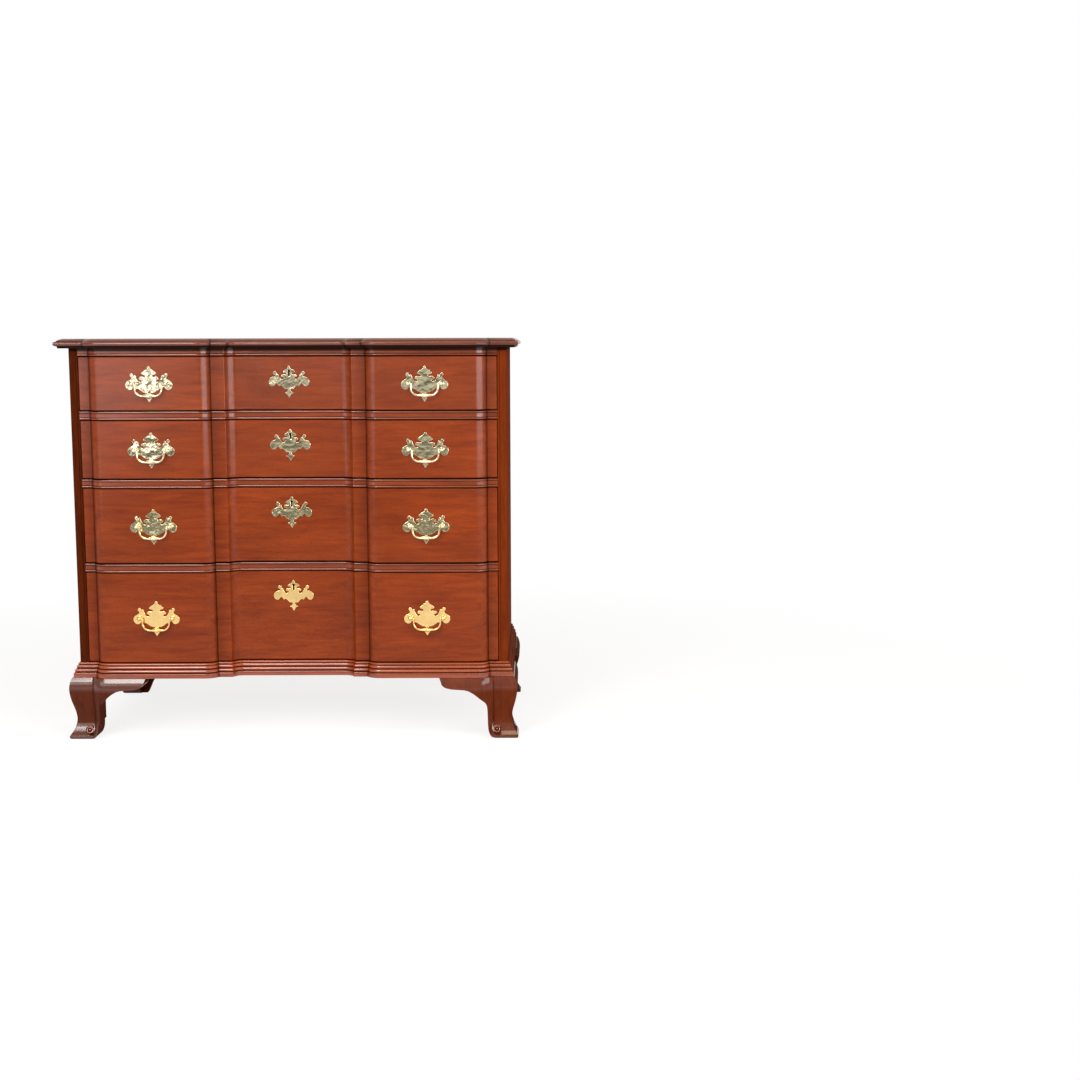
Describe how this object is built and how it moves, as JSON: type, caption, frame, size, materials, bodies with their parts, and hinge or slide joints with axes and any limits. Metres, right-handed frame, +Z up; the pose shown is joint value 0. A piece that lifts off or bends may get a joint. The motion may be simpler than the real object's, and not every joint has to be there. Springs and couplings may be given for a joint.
{
  "type": "block front chest",
  "caption": "Block front chest of drawers with a moulded top, graduated drawers, bail pulls, key plates and ogee bracket feet",
  "frame": {"origin": "on the floor, under the middle of the top board", "axes": "+Z up, +X to the chest's right seen from the front, -Y out of the drawer fronts"},
  "size_m": [0.965, 0.49, 0.85],
  "materials": {
    "mahogany": "glossy red-brown lacquer over open-grained mahogany",
    "secondary_wood": "sanded pale hardwood, thin clear sealer",
    "brass": "polished and lacquered brass",
    "lock_metal": "brushed steel"
  },
  "bodies": {
    "case": {"top_board": "mahogany", "case_side_left": "mahogany", "case_side_right": "mahogany", "back_panel": "secondary_wood", "bottom_board": "secondary_wood", "top_rail": "mahogany", "drawer_blades": "mahogany", "base_moulding_front": "mahogany", "base_moulding_sides": "mahogany", "foot_front_left": "mahogany", "foot_front_right": "mahogany", "foot_rear_left": "mahogany", "foot_rear_right": "mahogany", "glue_blocks": "secondary_wood", "drawer_runners": "secondary_wood", "drawer_stops": "secondary_wood"},
    "drawer_1": {"drawer_front_1": "mahogany", "drawer_sides_1": "secondary_wood", "drawer_back_1": "secondary_wood", "drawer_bottom_1": "secondary_wood", "pull_plates_1": "brass", "pull_posts_1": "brass", "escutcheon_1": "brass", "lock_1": "lock_metal"},
    "lock_bolt_1": {"lock_bolt_1": "lock_metal"},
    "bail_left_1": {"bail_left_1": "brass"},
    "bail_right_1": {"bail_right_1": "brass"},
    "drawer_2": {"drawer_front_2": "mahogany", "drawer_sides_2": "secondary_wood", "drawer_back_2": "secondary_wood", "drawer_bottom_2": "secondary_wood", "pull_plates_2": "brass", "pull_posts_2": "brass", "escutcheon_2": "brass", "lock_2": "lock_metal"},
    "lock_bolt_2": {"lock_bolt_2": "lock_metal"},
    "bail_left_2": {"bail_left_2": "brass"},
    "bail_right_2": {"bail_right_2": "brass"},
    "drawer_3": {"drawer_front_3": "mahogany", "drawer_sides_3": "secondary_wood", "drawer_back_3": "secondary_wood", "drawer_bottom_3": "secondary_wood", "pull_plates_3": "brass", "pull_posts_3": "brass", "escutcheon_3": "brass", "lock_3": "lock_metal"},
    "lock_bolt_3": {"lock_bolt_3": "lock_metal"},
    "bail_left_3": {"bail_left_3": "brass"},
    "bail_right_3": {"bail_right_3": "brass"},
    "drawer_4": {"drawer_front_4": "mahogany", "drawer_sides_4": "secondary_wood", "drawer_back_4": "secondary_wood", "drawer_bottom_4": "secondary_wood", "pull_plates_4": "brass", "pull_posts_4": "brass", "escutcheon_4": "brass", "lock_4": "lock_metal"},
    "lock_bolt_4": {"lock_bolt_4": "lock_metal"},
    "bail_left_4": {"bail_left_4": "brass"},
    "bail_right_4": {"bail_right_4": "brass"}
  },
  "joints": [
    {"name": "drawer_slide_1", "type": "slide", "parent": "case", "child": "drawer_1", "axis": [0, -1, 0], "range_m": [0, 0.33]},
    {"name": "lock_bolt_throw_1", "type": "slide", "parent": "drawer_1", "child": "lock_bolt_1", "axis": [0, 0, 1], "range_m": [0, 0.006]},
    {"name": "bail_swing_left_1", "type": "hinge", "parent": "drawer_1", "child": "bail_left_1", "pos_m": [-0.287, -0.2301, 0.7565], "axis": [-1, 0, 0], "range_deg": [0, 100]},
    {"name": "bail_swing_right_1", "type": "hinge", "parent": "drawer_1", "child": "bail_right_1", "pos_m": [0.287, -0.2301, 0.7565], "axis": [-1, 0, 0], "range_deg": [0, 100]},
    {"name": "drawer_slide_2", "type": "slide", "parent": "case", "child": "drawer_2", "axis": [0, -1, 0], "range_m": [0, 0.33]},
    {"name": "lock_bolt_throw_2", "type": "slide", "parent": "drawer_2", "child": "lock_bolt_2", "axis": [0, 0, 1], "range_m": [0, 0.006]},
    {"name": "bail_swing_left_2", "type": "hinge", "parent": "drawer_2", "child": "bail_left_2", "pos_m": [-0.287, -0.2301, 0.6185], "axis": [-1, 0, 0], "range_deg": [0, 100]},
    {"name": "bail_swing_right_2", "type": "hinge", "parent": "drawer_2", "child": "bail_right_2", "pos_m": [0.287, -0.2301, 0.6185], "axis": [-1, 0, 0], "range_deg": [0, 100]},
    {"name": "drawer_slide_3", "type": "slide", "parent": "case", "child": "drawer_3", "axis": [0, -1, 0], "range_m": [0, 0.33]},
    {"name": "lock_bolt_throw_3", "type": "slide", "parent": "drawer_3", "child": "lock_bolt_3", "axis": [0, 0, 1], "range_m": [0, 0.006]},
    {"name": "bail_swing_left_3", "type": "hinge", "parent": "drawer_3", "child": "bail_left_3", "pos_m": [-0.287, -0.2301, 0.4575], "axis": [-1, 0, 0], "range_deg": [0, 100]},
    {"name": "bail_swing_right_3", "type": "hinge", "parent": "drawer_3", "child": "bail_right_3", "pos_m": [0.287, -0.2301, 0.4575], "axis": [-1, 0, 0], "range_deg": [0, 100]},
    {"name": "drawer_slide_4", "type": "slide", "parent": "case", "child": "drawer_4", "axis": [0, -1, 0], "range_m": [0, 0.33]},
    {"name": "lock_bolt_throw_4", "type": "slide", "parent": "drawer_4", "child": "lock_bolt_4", "axis": [0, 0, 1], "range_m": [0, 0.006]},
    {"name": "bail_swing_left_4", "type": "hinge", "parent": "drawer_4", "child": "bail_left_4", "pos_m": [-0.287, -0.2301, 0.2615], "axis": [-1, 0, 0], "range_deg": [0, 100]},
    {"name": "bail_swing_right_4", "type": "hinge", "parent": "drawer_4", "child": "bail_right_4", "pos_m": [0.287, -0.2301, 0.2615], "axis": [-1, 0, 0], "range_deg": [0, 100]}
  ]
}
